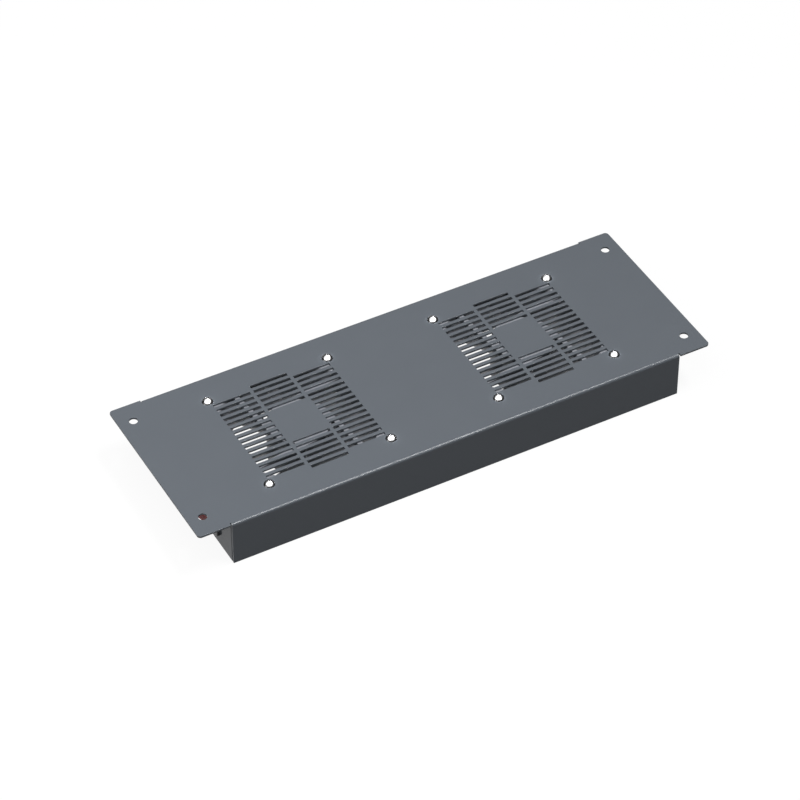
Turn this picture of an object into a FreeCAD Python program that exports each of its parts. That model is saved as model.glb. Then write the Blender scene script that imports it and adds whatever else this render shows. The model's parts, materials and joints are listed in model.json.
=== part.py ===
# Two-fan rack fan tray: a folded sheet tray with end plates, two mains axial fans under
# slotted grilles, a rocker switch and an appliance inlet on the left end plate, and the wiring.
# Millimetres. +X runs along the tray, +Y to the back, +Z up. The origin is the middle of the
# footprint, on the plane of the walls' bottom edges.
import FreeCAD, Part
import math
import os

os.makedirs("parts", exist_ok=True)

V = FreeCAD.Vector
ORIGIN = V(0, 0, 0)
UP = V(0, 0, 1)

# Tray sheet and end plates
sheet = 1.5
bend_radius = 0.5
plate_length = 450.0
side_channel = 17.0
plate_corner = 3.0
wall_overhang = 1.0
ear_reach = 28.0
relief_width = 1.0
relief_margin = 0.5
mount_inset_x = 12.5
mount_inset_y = 18.5
mount_hole = 7.0
end_lap = 15.0
end_top_lap = 12.0
end_top_inset = 16.0
fold_clearance = 0.2

# Slotted grilles over the fans
slot_length = 32.0
slot_width = 3.0
slot_pitch = 6.0
slot_rows = 18
column_pitch = 35.0
side_column_skip = 1
middle_blank_rows = 6

# Fan housing
fan_side = 120.0
fan_depth = 38.0
fan_corner = 6.0
fan_flange = 5.0
screw_pitch = 105.0
screw_clearance = 0.25
duct_side_wall = 2.5
duct_wall = 3.0
flare_reach = 5.0
flare_depth = 7.0
flare_side_wall = 1.8
strut_count = 4
strut_width = 4.0
strut_height = 4.5
strut_offset = 23.6
strut_angle = 7.6
base_radius = 25.0
base_thickness = 3.0

# Rotor, shaft and bearings
hub_radius = 25.5
hub_wall = 1.8
hub_round = 1.5
hub_top_gap = 2.5
hub_base_gap = 1.5
boss_radius = 4.5
boss_depth = 6.0
shaft_radius = 2.45
shaft_clearance = 0.05
shaft_foot = 2.6
bearing_radius = 6.5
bearing_width = 4.0
lower_bearing_foot = 5.0
upper_bearing_foot = 22.0
bearing_tube_wall = 1.5
bearing_shoulder = 1.2
collar_wall = 2.0
retainer_thickness = 0.7
retainer_radius = 4.2
retainer_groove = 0.45
retainer_gap = 0.1
cap_thickness = 1.2
round_fit = 0.03

# Blades
blade_count = 7
blade_height = 29.5
blade_foot = 5.5
blade_lead = 33.0
blade_thickness = 2.0
blade_edge = 0.9
blade_camber = 3.6
blade_phase = -24.0
blade_sweep = 8.0
tip_clearance = 1.2
blade_root_sink = 1.0
blade_overrun = 5.0

# Motor
rotor_ring_thickness = 3.0
rotor_ring_overlap = 2.0
air_gap = 0.5
stack_height = 14.0
stack_foot = 9.0
pole_count = 4
pole_width = 6.0
pole_shoe = 2.6
pole_gap_angle = 18.0
pole_sink = 1.0
core_ring = 2.8
coil_thickness = 2.4
coil_fit = 0.15

# Fasteners
m4_radius = 2.0
m4_nut_flats = 7.0
m4_nut_height = 3.2
m4_washer_radius = 4.5
m4_washer_thickness = 0.8
m3_radius = 1.5
m3_nut_flats = 5.5
m3_nut_height = 2.4
dome_radius = 4.7
dome_height = 2.8
thread_spare = 2.0
fastener_fit = 0.1

# Fan terminals, in the front left corner pocket
terminal_inset_x = 10.5
terminal_inset_y = 11.0
terminal_wrap = 2.5
terminal_block_width = 11.0
terminal_block_height = 12.0
terminal_pitch = 5.5
tab_length = 8.0
fan_tab_width = 4.8
tab_thickness = 0.8

# Rocker switch
switch_y = -39.6
switch_drop = 20.0
bezel_length = 31.0
bezel_height = 25.4
bezel_thickness = 2.2
bezel_corner = 2.0
bezel_round = 0.7
switch_body_length = 27.4
switch_body_height = 21.6
switch_body_depth = 18.0
switch_body_corner = 1.0
panel_clearance = 0.2
rocker_arc = 12.2
rocker_width = 18.4
rocker_gap = 0.3
rocker_end_rise = 5.8
rocker_middle_rise = 4.4
rocker_foot = 3.0
rocker_tilt = 10.0
rocker_pin_radius = 1.5
rocker_pin_length = 0.9
rocker_well_depth = 6.0
switch_tab_pitch_y = 14.0
switch_tab_pitch_z = 9.0
tab_width = 6.3
tab_root = 2.0

# Appliance inlet
inlet_y = 14.0
inlet_flange_length = 50.0
inlet_flange_height = 25.4
inlet_flange_thickness = 3.0
inlet_flange_corner = 4.0
inlet_screw_pitch = 40.0
inlet_body_length = 27.5
inlet_body_height = 20.0
inlet_body_corner = 4.5
inlet_body_depth = 18.0
socket_length = 24.4
socket_height = 16.8
socket_corner = 4.0
socket_floor = 2.6
inlet_pin_pitch = 7.0
inlet_earth_rise = 3.0
inlet_pin_width = 4.0
inlet_pin_thickness = 2.0
inlet_pin_setback = 1.0
inlet_tab_width = 4.8
countersink_radius = 3.0

# Wiring and earth
lead_radius = 1.0
lead_crimp_rise = 1.75
receptacle_wall = 1.1
receptacle_length = 9.0
receptacle_setback = 0.8
lead_crossing = 4.0
lead_room = 9.2
corridor_gap = 1.0
run_gap = 1.2
run_pitch = 4.5
clip_length = 8.0
clip_margin = 2.0
clip_fit = 0.1
clip_places = (-100.0, -25.0, 30.0)
earth_inset = 57.0
earth_z = 20.0
earth_stud_length = 11.0
ring_radius = 4.0
ring_thickness = 0.8
barrel_neck = 1.0
barrel_radius = 1.8
barrel_length = 6.0

# Making
overcut = 1.0
arc_share = 0.45

# Worked-out places
box_half = plate_length / 2 - ear_reach
inner_half_width = fan_side / 2 + side_channel
half_width = inner_half_width + sheet
plate_foot = wall_overhang + fan_depth
tray_height = plate_foot + sheet
mount_x = plate_length / 2 - mount_inset_x
mount_y = half_width - mount_inset_y
outer_bend = bend_radius + sheet
end_face = -box_half
end_inner = end_face + sheet
earth_x = end_face + earth_inset
switch_z = tray_height - switch_drop
tube_radius = bearing_radius + bearing_tube_wall
hub_foot = base_thickness + hub_base_gap
hub_top = fan_depth - hub_top_gap
blade_middle = blade_foot + blade_height / 2
duct_radius = fan_side / 2 - duct_side_wall
tip_radius = duct_radius - tip_clearance
hub_inner = hub_radius - hub_wall
rotor_inner = hub_inner - round_fit - rotor_ring_thickness
core_outer = rotor_inner - air_gap
screw_radius = m4_radius - fastener_fit / 2
duct_outer = duct_radius + duct_wall
terminal_middle = fan_depth / 2
terminal_x = terminal_inset_x - fan_side / 2
terminal_near = -terminal_x - terminal_block_width / 2
terminal_back = math.sqrt(duct_outer ** 2 - terminal_near ** 2) - terminal_wrap
terminal_face = fan_side / 2 - terminal_inset_y
thickness_half = tab_thickness / 2
flange_foot = plate_foot - fan_flange
washer_foot = flange_foot - m4_washer_thickness
nut_foot = washer_foot - m4_nut_height
receptacle_reach = receptacle_setback + receptacle_length
switch_lead_start = end_face + switch_body_depth + receptacle_reach
inlet_lead_start = end_face + inlet_body_depth + receptacle_reach
left_fan_side = max(switch_lead_start, inlet_lead_start) + lead_room
corridor_x = left_fan_side - corridor_gap - lead_radius
outer_run_y = -inner_half_width + run_gap + clip_margin + lead_radius
inner_run_y = outer_run_y + run_pitch
fan_x = -left_fan_side - fan_side / 2
fans = {"left": V(-fan_x, 0, 0), "right": V(fan_x, 0, 0)}


def block(x0, x1, y0, y1, z0, z1):
    return Part.makeBox(x1 - x0, y1 - y0, z1 - z0, V(x0, y0, z0))


def rod(radius, z0, z1, x=0.0, y=0.0):
    return Part.makeCylinder(radius, z1 - z0, V(x, y, z0))


def ring(outer, inner, z0, z1, x=0.0, y=0.0):
    return rod(outer, z0, z1, x, y).cut(rod(inner, z0, z1, x, y))


def placed(shape, position, turn=0.0):
    """A copy turned about the vertical through the origin, then moved."""
    copy = shape.copy()
    copy.rotate(ORIGIN, UP, turn)
    copy.translate(position)
    return copy


def hung(shape, place):
    """A fan piece, turned over so that its outlet face meets the plate's underside."""
    copy = shape.copy()
    copy.rotate(ORIGIN, V(1, 0, 0), 180)
    copy.translate(place + V(0, 0, plate_foot))
    return copy


def outline(corners, radii):
    """Closed outline of straight runs, each corner rounded with its own radius."""
    before = corners[-1:] + corners[:-1]
    after = corners[1:] + corners[:1]
    entries = []
    exits = []
    arcs = []
    for corner, previous, following, radius in zip(corners, before, after, radii):
        back = (previous - corner).normalize()
        ahead = (following - corner).normalize()
        half = back.getAngle(ahead) / 2
        entries.append(corner + back * (radius / math.tan(half)))
        exits.append(corner + ahead * (radius / math.tan(half)))
        middle = corner + (back + ahead).normalize() * (radius / math.sin(half) - radius)
        arcs.append(Part.Arc(entries[-1], middle, exits[-1]).toShape() if radius else None)
    edges = []
    for index, arc in enumerate(arcs):
        edges.append(Part.LineSegment(exits[index - 1], entries[index]).toShape())
        if arc:
            edges.append(arc)
    return Part.Wire(edges)


def prism(corners, radii, push):
    return Part.Face(outline(corners, radii)).extrude(push)


def rounded_block(x0, x1, y0, y1, z0, z1, radius, across="Z"):
    """A block whose four edges along one axis are rounded."""
    if across == "Z":
        corners = [V(x0, y0, z0), V(x1, y0, z0), V(x1, y1, z0), V(x0, y1, z0)]
        push = V(0, 0, z1 - z0)
    else:
        corners = [V(x0, y0, z0), V(x0, y1, z0), V(x0, y1, z1), V(x0, y0, z1)]
        push = V(x1 - x0, 0, 0)
    return prism(corners, [radius] * 4, push)


def nut(flats, bore, height):
    """A hexagon nut standing on the origin."""
    corner = flats / math.sqrt(3)
    points = []
    for index in range(6):
        turn = index * math.pi / 3
        points.append(V(corner * math.cos(turn), corner * math.sin(turn), 0))
    return prism(points, [0] * 6, V(0, 0, height)).cut(rod(bore, 0, height))


def lead(points):
    """A wire: straight runs joined by the largest tangent arcs that the runs allow."""
    edges = []
    bends = []
    start = points[0]
    for previous, corner, following in zip(points, points[1:], points[2:]):
        back = previous - corner
        ahead = following - corner
        shorter = min(back.Length, ahead.Length)
        half = back.getAngle(ahead) / 2
        reach = arc_share * shorter
        bend = reach * math.tan(half)
        bends.append(round(bend, 1))
        back.normalize()
        ahead.normalize()
        entry = corner + back * reach
        leave = corner + ahead * reach
        middle = corner + (back + ahead).normalize() * (bend / math.sin(half) - bend)
        edges.append(Part.LineSegment(start, entry).toShape())
        edges.append(Part.Arc(entry, middle, leave).toShape())
        start = leave
    edges.append(Part.LineSegment(start, points[-1]).toShape())
    path = Part.Wire(edges)
    section = Part.Wire(Part.Circle(points[0], points[1] - points[0], lead_radius).toShape())
    wire = path.makePipeShell([section], True, False)
    full = path.Length * math.pi * lead_radius ** 2
    print("wire length", round(path.Length, 1), "bend radii", bends, "volume over section x length",
          round(wire.Volume / full, 4))
    return wire


def save(name, solids):
    shape = solids[0] if len(solids) == 1 else Part.Compound(solids)
    shape.exportStep("parts/" + name + ".step")


# The folded tray sheet


def grille_slots():
    """The slots over one fan, about its own axis: two full side columns and a middle one
    that stays blank over the motor."""
    first = (slot_rows - 1) * slot_pitch / 2
    blank_from = (slot_rows - middle_blank_rows) // 2
    slots = []
    for column in (-1, 0, 1):
        for row in range(slot_rows):
            in_blank = blank_from <= row < blank_from + middle_blank_rows
            at_end = row < side_column_skip or row >= slot_rows - side_column_skip
            if in_blank if column == 0 else at_end:
                continue
            x = column * column_pitch
            y = first - row * slot_pitch
            slots.append(block(x - slot_length / 2, x + slot_length / 2,
                               y - slot_width / 2, y + slot_width / 2, -sheet, 2 * sheet))
    return Part.Compound(slots)


def fan_corners():
    half = screw_pitch / 2
    return [(x, y) for x in (-half, half) for y in (-half, half)]


def tray_plate():
    half = half_width
    inner = inner_half_width
    top = tray_height
    foot = plate_foot
    end = -box_half
    profile = [V(end, -half, 0), V(end, -half, top), V(end, half, top), V(end, half, 0),
               V(end, inner, 0), V(end, inner, foot), V(end, -inner, foot), V(end, -inner, 0)]
    folded = prism(profile, [0, outer_bend, outer_bend, 0, 0, bend_radius, bend_radius, 0],
                   V(2 * box_half, 0, 0))
    neck = half - outer_bend - relief_margin
    ear_start = box_half + relief_width
    flat = block(-ear_start - sheet, ear_start + sheet, -neck, neck, foot, top)
    for side in (-1, 1):
        x0, x1 = sorted((side * ear_start, side * plate_length / 2))
        corners = [V(x0, -half, foot), V(x1, -half, foot), V(x1, half, foot), V(x0, half, foot)]
        radii = [0, plate_corner, plate_corner, 0] if side > 0 else [plate_corner, 0, 0, plate_corner]
        flat = flat.fuse(prism(corners, radii, V(0, 0, sheet)))
    holes = []
    for x in (-mount_x, mount_x):
        for y in (-mount_y, mount_y):
            holes.append(rod(mount_hole / 2, foot - sheet, top + sheet, x, y))
    screw_hole = m4_radius + screw_clearance
    for place in fans.values():
        holes.append(placed(grille_slots(), V(place.x, place.y, foot)))
        for x, y in fan_corners():
            holes.append(rod(screw_hole, foot - sheet, top + sheet, place.x + x, place.y + y))
    return folded.fuse(flat).removeSplitter().cut(Part.Compound(holes))


def end_plate():
    """The left end plate with no cut-outs: a face with laps folded back along both walls
    and a third lap under the plate."""
    lap = end_face + end_lap
    side = inner_half_width
    wall = [V(lap, -side, 0), V(end_face, -side, 0), V(end_face, side, 0), V(lap, side, 0),
            V(lap, side - sheet, 0), V(end_inner, side - sheet, 0),
            V(end_inner, sheet - side, 0), V(lap, sheet - side, 0)]
    height = plate_foot - bend_radius - fold_clearance
    face = prism(wall, [0, outer_bend, outer_bend, 0, 0, bend_radius, bend_radius, 0], V(0, 0, height))
    half_lap = side - end_top_inset
    low = plate_foot - 2 * outer_bend
    top_lap = end_face + end_top_lap
    lip_foot = plate_foot - sheet
    fold = [V(end_face, -half_lap, low), V(end_face, -half_lap, plate_foot),
            V(top_lap, -half_lap, plate_foot), V(top_lap, -half_lap, lip_foot),
            V(end_inner, -half_lap, lip_foot), V(end_inner, -half_lap, low)]
    lip = prism(fold, [0, outer_bend, 0, 0, bend_radius, 0], V(0, 2 * half_lap, 0))
    above = block(end_face - sheet, end_inner, -half_lap, half_lap, low, plate_foot + sheet)
    return face.cut(above).fuse(lip).removeSplitter()


def panel_box(centre_y, length, height, x0, x1, corner):
    """A rounded block square to the left end plate, centred on the switch's height."""
    return rounded_block(x0, x1, centre_y - length / 2, centre_y + length / 2,
                         switch_z - height / 2, switch_z + height / 2, corner, "X")


def left_end_plate():
    through = (end_face - sheet, end_inner + sheet)
    cut_outs = [
        panel_box(switch_y, switch_body_length + 2 * panel_clearance,
                  switch_body_height + 2 * panel_clearance, *through, switch_body_corner),
        panel_box(inlet_y, inlet_body_length + 2 * panel_clearance,
                  inlet_body_height + 2 * panel_clearance, *through, inlet_body_corner),
    ]
    for place in inlet_screw_places():
        cut_outs.append(Part.makeCylinder(m3_radius + fastener_fit, 3 * sheet,
                                          V(end_face - sheet, place.y, place.z), V(1, 0, 0)))
    return end_plate().cut(Part.Compound(cut_outs))


# One fan, about its own axis and upside down, with the outlet face and its struts at z = 0


def housing_square(z0, z1):
    half = fan_side / 2
    return rounded_block(-half, half, -half, half, z0, z1, fan_corner)


def flare(z_face, direction):
    """The widening of the duct towards one face, held back from the housing's flat sides."""
    z_inner = z_face - direction * flare_depth
    wide = duct_radius + flare_reach
    cone = Part.makeCone(duct_radius, wide, flare_depth, V(0, 0, z_inner), V(0, 0, direction))
    keep = fan_side / 2 - flare_side_wall
    return cone.common(block(-keep, keep, -keep, keep, -overcut, fan_depth + overcut))


def fan_housing():
    body = housing_square(0, fan_depth)
    pockets = housing_square(fan_flange, fan_depth - fan_flange).cut(rod(duct_outer, 0, fan_depth))
    body = body.cut(pockets).cut(rod(duct_radius, -overcut, fan_depth + overcut))
    body = body.cut(flare(0, -1)).cut(flare(fan_depth, 1))
    for x, y in fan_corners():
        body = body.cut(rod(m4_radius + screw_clearance, -overcut, fan_depth + overcut, x, y))
    base = rod(base_radius, 0, base_thickness)
    hub_room = rod(base_radius, base_thickness, fan_depth)
    rim = duct_radius + flare_reach + overcut
    for index in range(strut_count):
        arm = block(0, rim, -strut_offset - strut_width / 2, -strut_offset + strut_width / 2, 0, strut_height)
        base = base.fuse(placed(arm, ORIGIN, index * 360 / strut_count - strut_angle))
    base = base.common(housing_square(0, fan_depth)).cut(hub_room)
    base = base.fuse(rod(tube_radius + collar_wall, 0, stack_foot))
    base = base.cut(rod(tube_radius + round_fit, 0, stack_foot))
    return body.fuse(base).removeSplitter()


def bearing_tube():
    """The tube pressed into the motor base's collar, with a seat for a bearing at either end."""
    top = upper_bearing_foot + bearing_width
    wide = bearing_radius + round_fit
    tube = ring(tube_radius, bearing_radius - bearing_shoulder, 0, top)
    tube = tube.cut(rod(wide, 0, lower_bearing_foot + bearing_width))
    return tube.cut(rod(wide, upper_bearing_foot, top))


def bearings():
    pair = []
    for foot in (lower_bearing_foot, upper_bearing_foot):
        race = ring(bearing_radius, shaft_radius + shaft_clearance, foot, foot + bearing_width)
        pair.append(race)
    return pair


def blade_section(distance, turn):
    """One blade section, flat and square to the radius that it lies across."""
    pitch = math.atan2(blade_lead, distance)
    half_z = blade_height / 2
    half_t = half_z / math.tan(pitch)
    normal_t = -math.sin(pitch)
    normal_z = math.cos(pitch)
    radial = V(math.cos(turn), math.sin(turn), 0)
    tangent = V(-math.sin(turn), math.cos(turn), 0)

    def point(end, offset):
        t = end * half_t + offset * normal_t
        z = end * half_z + offset * normal_z
        return radial * distance + tangent * t + UP * (blade_middle + z)

    edge = blade_edge / 2
    upper = blade_camber + blade_thickness / 2
    lower = blade_camber - blade_thickness / 2
    return Part.Wire([
        Part.Arc(point(-1, edge), point(0, upper), point(1, edge)).toShape(),
        Part.LineSegment(point(1, edge), point(1, -edge)).toShape(),
        Part.Arc(point(1, -edge), point(0, lower), point(-1, -edge)).toShape(),
        Part.LineSegment(point(-1, -edge), point(-1, edge)).toShape(),
    ])


def impeller():
    top = hub_top
    profile = [V(0, 0, top), V(hub_radius, 0, top), V(hub_radius, 0, hub_foot),
               V(hub_inner, 0, hub_foot), V(hub_inner, 0, top - hub_wall), V(0, 0, top - hub_wall)]
    cup = Part.Face(outline(profile, [0, hub_round, 0, 0, 0, 0])).revolve(ORIGIN, UP, 360)
    cup = cup.fuse(rod(boss_radius, top - boss_depth, top - hub_wall))
    inner = hub_radius - blade_overrun
    outer = tip_radius + blade_overrun
    sections = []
    for station in (inner, (inner + outer) / 2, outer):
        sweep = blade_sweep * (station - hub_radius) / (tip_radius - hub_radius)
        sections.append(blade_section(station, math.radians(blade_phase + sweep)))
    blade = Part.makeLoft(sections, True, False)
    reach = ring(tip_radius, hub_radius - blade_root_sink, 0, fan_depth)
    blade = blade.common(reach)
    for index in range(blade_count):
        cup = cup.fuse(placed(blade, ORIGIN, index * 360 / blade_count))
    shaft_top = top - hub_wall
    return cup.cut(rod(shaft_radius + round_fit, 0, shaft_top))


def rotor_ring():
    foot = stack_foot - rotor_ring_overlap
    top = stack_foot + stack_height + rotor_ring_overlap
    return ring(hub_inner - round_fit, rotor_inner, foot, top)


def shaft():
    top = hub_top - hub_wall
    groove_top = lower_bearing_foot - retainer_gap
    groove_foot = groove_top - retainer_thickness
    groove = ring(shaft_radius + overcut, shaft_radius - retainer_groove, groove_foot, groove_top)
    return rod(shaft_radius, shaft_foot, top).cut(groove)


def retaining_ring():
    top = lower_bearing_foot - retainer_gap
    inner = shaft_radius - retainer_groove + round_fit
    hoop = ring(retainer_radius, inner, top - retainer_thickness + round_fit, top - round_fit)
    gap = shaft_radius
    return hoop.cut(block(0, retainer_radius + overcut, -gap / 2, gap / 2, 0, fan_depth))


def stator_core():
    foot = stack_foot
    top = stack_foot + stack_height
    core = ring(tube_radius + round_fit + core_ring, tube_radius + round_fit, foot, top)
    shoes = ring(core_outer, core_outer - pole_shoe, foot, top)
    half_pole = pole_width / 2
    half_gap = core_outer * math.radians(pole_gap_angle) / 2
    shoe_middle = core_outer - pole_shoe / 2
    arm = block(tube_radius + pole_sink, shoe_middle, -half_pole, half_pole, foot, top)
    opening = block(core_outer / 2, 2 * core_outer, -half_gap, half_gap, foot, top)
    for index in range(pole_count):
        turn = index * 360 / pole_count
        core = core.fuse(placed(arm, ORIGIN, turn))
        shoes = shoes.cut(placed(opening, ORIGIN, turn + 180 / pole_count))
    return core.fuse(shoes)


def stator_coils():
    foot = stack_foot
    top = stack_foot + stack_height
    inner = tube_radius + round_fit + core_ring + coil_fit
    half = pole_width / 2 + coil_fit
    shoe_inner = core_outer - pole_shoe
    outer = math.sqrt(shoe_inner ** 2 - (half + coil_thickness) ** 2) - coil_fit
    coils = []
    for index in range(pole_count):
        outside = rounded_block(inner, outer, -half - coil_thickness, half + coil_thickness,
                                foot - coil_fit - coil_thickness, top + coil_fit + coil_thickness,
                                coil_thickness, "X")
        inside = block(inner, outer, -half, half, foot - coil_fit, top + coil_fit)
        coils.append(placed(outside.cut(inside), ORIGIN, index * 360 / pole_count))
    return coils


def bearing_cap():
    return rod(bearing_radius, 0, cap_thickness)


def tab(width, thickness_along):
    """A flat tab along +X from the origin, with a root behind it for its moulding."""
    sizes = {"Y": (thickness_half, width / 2), "Z": (width / 2, thickness_half)}
    half_y, half_z = sizes[thickness_along]
    return block(-tab_root, tab_length, -half_y, half_y, -half_z, half_z)


def receptacle(width, thickness_along):
    """An insulated push-on receptacle over such a tab."""
    sizes = {"Y": (thickness_half, width / 2), "Z": (width / 2, thickness_half)}
    half_y, half_z = [half + receptacle_wall for half in sizes[thickness_along]]
    cover = rounded_block(receptacle_setback, receptacle_setback + receptacle_length,
                          -half_y, half_y, -half_z, half_z, receptacle_wall / 2, "X")
    return cover.cut(tab(width, thickness_along))


def fan_tab_places():
    half = terminal_pitch / 2
    return [V(terminal_x + across, terminal_face, terminal_middle) for across in (-half, half)]


def fan_tabs():
    return [placed(tab(fan_tab_width, "Y"), place, 90) for place in fan_tab_places()]


def fan_receptacles():
    return [placed(receptacle(fan_tab_width, "Y"), place, 90) for place in fan_tab_places()]


def terminal_block():
    """A moulded block in the corner pocket, its back hollowed to sit against the duct."""
    half_x = terminal_block_width / 2
    half_z = terminal_block_height / 2
    whole = block(terminal_x - half_x, terminal_x + half_x, terminal_back, terminal_face,
                  terminal_middle - half_z, terminal_middle + half_z)
    return whole.cut(rod(duct_outer + round_fit, 0, fan_depth)).cut(Part.Compound(fan_tabs()))


# The fans' fasteners, about a fan's axis at their height in the tray


def fan_screw():
    ball = (dome_radius ** 2 + dome_height ** 2) / (2 * dome_height)
    dome = Part.makeSphere(ball, V(0, 0, tray_height + dome_height - ball))
    head = dome.common(rod(dome_radius, tray_height, tray_height + dome_height + overcut))
    return head.fuse(rod(screw_radius, nut_foot - thread_spare, tray_height))


def fan_fasteners():
    """Domed screws down through plate and flange, each with a washer and a nut below."""
    washer = ring(m4_washer_radius, m4_radius + fastener_fit, washer_foot, flange_foot)
    hexagon = nut(m4_nut_flats, m4_radius, m4_nut_height)
    corners = fan_corners()
    return {
        "screws": [placed(fan_screw(), V(x, y, 0)) for x, y in corners],
        "washers": [placed(washer, V(x, y, 0)) for x, y in corners],
        "nuts": [placed(hexagon, V(x, y, nut_foot)) for x, y in corners],
    }


# The rocker switch, set in the left end plate


def switch_place():
    return V(end_face, switch_y, switch_z)


def rocker_shape():
    """The rocker about its pin at the origin, outwards along -X, tilted to its rest stop."""
    end_y = math.sqrt(rocker_arc ** 2 - rocker_end_rise ** 2)
    foot_y = math.sqrt(rocker_arc ** 2 - rocker_foot ** 2)
    low = -rocker_width / 2

    def point(out, y):
        return V(-out, y, low)

    high = point(rocker_end_rise, end_y)
    low_end = point(rocker_end_rise, -end_y)
    middle = point(rocker_middle_rise, 0)
    inner_high = point(-rocker_foot, foot_y)
    inner_low = point(-rocker_foot, -foot_y)
    edges = [
        Part.Arc(inner_high, point(0, rocker_arc), high).toShape(),
        Part.LineSegment(high, middle).toShape(),
        Part.LineSegment(middle, low_end).toShape(),
        Part.Arc(low_end, point(0, -rocker_arc), inner_low).toShape(),
        Part.LineSegment(inner_low, inner_high).toShape(),
    ]
    body = Part.Face(Part.Wire(edges)).extrude(V(0, 0, rocker_width))
    pin = rod(rocker_pin_radius, low - rocker_pin_length, -low + rocker_pin_length)
    return placed(body.fuse(pin), ORIGIN, rocker_tilt)


def switch_rocker():
    return placed(rocker_shape(), switch_place())


def switch_tab_places():
    half_y = switch_tab_pitch_y / 2
    half_z = switch_tab_pitch_z / 2
    back = end_face + switch_body_depth
    return [V(back, switch_y + y, switch_z + z) for y in (-half_y, half_y) for z in (-half_z, half_z)]


def switch_terminals():
    return [placed(tab(tab_width, "Z"), place) for place in switch_tab_places()]


def switch_receptacles():
    return [placed(receptacle(tab_width, "Z"), place) for place in switch_tab_places()]


def switch_housing():
    front = end_face - bezel_thickness
    bezel = panel_box(switch_y, bezel_length, bezel_height, front, end_face, bezel_corner)
    face_limit = front + bezel_round / 2
    rim = [edge for edge in bezel.Edges if max(vertex.X for vertex in edge.Vertexes) < face_limit]
    bezel = bezel.makeFillet(bezel_round, rim)
    body = panel_box(switch_y, switch_body_length, switch_body_height, end_face,
                     end_face + switch_body_depth, switch_body_corner)
    well_half_y = rocker_arc + rocker_gap
    well_half_z = rocker_width / 2 + rocker_gap
    well = block(front - overcut, end_face + rocker_well_depth,
                 switch_y - well_half_y, switch_y + well_half_y,
                 switch_z - well_half_z, switch_z + well_half_z)
    reach = well_half_z + rocker_pin_length
    pivot = placed(rod(rocker_pin_radius + shaft_clearance, -reach, reach), switch_place())
    return bezel.fuse(body).cut(well).cut(pivot).cut(Part.Compound(switch_terminals()))


# The appliance inlet, set in the left end plate


def inlet_screw_places():
    half = inlet_screw_pitch / 2
    return [V(end_face, inlet_y - half, switch_z), V(end_face, inlet_y + half, switch_z)]


def inlet_pin_places():
    return [V(end_face, inlet_y - inlet_pin_pitch, switch_z - inlet_earth_rise / 2),
            V(end_face, inlet_y, switch_z + inlet_earth_rise / 2),
            V(end_face, inlet_y + inlet_pin_pitch, switch_z - inlet_earth_rise / 2)]


def inlet_pins():
    """Flat contact pins in the socket, each one piece with its solder tab at the back."""
    back = end_face + inlet_body_depth
    pins = []
    for place in inlet_pin_places():
        blade = block(end_face - inlet_flange_thickness + inlet_pin_setback, back,
                      place.y - inlet_pin_thickness / 2, place.y + inlet_pin_thickness / 2,
                      place.z - inlet_pin_width / 2, place.z + inlet_pin_width / 2)
        tail = placed(tab(inlet_tab_width, "Y"), V(back, place.y, place.z))
        pins.append(blade.fuse(tail))
    return pins


def inlet_screw():
    """A countersunk screw along +X from the flange's front face, its head at the origin."""
    head_depth = countersink_radius - m3_radius
    head = Part.makeCone(countersink_radius, m3_radius, head_depth, ORIGIN, V(1, 0, 0))
    length = inlet_flange_thickness + sheet + m3_nut_height + thread_spare
    return head.fuse(Part.makeCylinder(m3_radius, length, ORIGIN, V(1, 0, 0)))


def inlet_screws():
    return [placed(inlet_screw(), place - V(inlet_flange_thickness, 0, 0)) for place in inlet_screw_places()]


def inlet_nuts():
    hexagon = nut(m3_nut_flats, m3_radius, m3_nut_height)
    hexagon.rotate(ORIGIN, V(0, 1, 0), 90)
    return [placed(hexagon, V(end_inner, place.y, place.z)) for place in inlet_screw_places()]


def inlet_housing():
    front = end_face - inlet_flange_thickness
    flange = panel_box(inlet_y, inlet_flange_length, inlet_flange_height, front, end_face,
                       inlet_flange_corner)
    body = panel_box(inlet_y, inlet_body_length, inlet_body_height, end_face,
                     end_face + inlet_body_depth, inlet_body_corner)
    socket = panel_box(inlet_y, socket_length, socket_height, front - overcut,
                       end_face + inlet_body_depth - socket_floor, socket_corner)
    shape = flange.fuse(body).cut(socket)
    return shape.cut(Part.Compound(inlet_pins() + inlet_screws()))


def inlet_receptacles():
    cover = receptacle(inlet_tab_width, "Y")
    return [placed(cover, place + V(inlet_body_depth, 0, 0)) for place in inlet_pin_places()]


# Wiring and earth


def supply_leads():
    """From the inlet's two outer pins to the switch's back pair of tabs, one dipping under the other."""
    line, _, neutral = inlet_pin_places()
    _, _, lower, upper = switch_tab_places()
    straight = [V(inlet_lead_start, line.y, line.z), V(corridor_x, line.y, line.z),
                V(corridor_x, upper.y, upper.z), V(switch_lead_start, upper.y, upper.z)]
    dipping = [V(inlet_lead_start, neutral.y, neutral.z), V(corridor_x, neutral.y, neutral.z),
               V(corridor_x, line.y + lead_crossing, line.z - lead_crossing),
               V(corridor_x, lower.y, lower.z), V(switch_lead_start, lower.y, lower.z)]
    return [lead(straight), lead(dipping)]


def fan_lead_ends(side):
    """Where a fan's two receptacles end, the outer one first."""
    ends = []
    for spot in fan_tab_places():
        end_y = -(spot.y + receptacle_reach)
        ends.append(V(fans[side].x + spot.x, end_y, plate_foot - spot.z))
    return ends


def left_fan_leads():
    """From the switch's front pair of tabs round the fan's corner to its receptacles."""
    lower, upper, _, _ = switch_tab_places()
    outer, inner = fan_lead_ends("left")
    routes = ((lower, outer, inner_run_y, 0), (upper, inner, outer_run_y, lead_crimp_rise))
    leads = []
    for start, end, run_y, rise in routes:
        height = end.z + lead_crimp_rise
        leads.append(lead([V(switch_lead_start, start.y, start.z), V(corridor_x, start.y, start.z),
                           V(corridor_x, run_y, height + rise), V(end.x, run_y, height),
                           V(end.x, end.y, height)]))
    return leads


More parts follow.
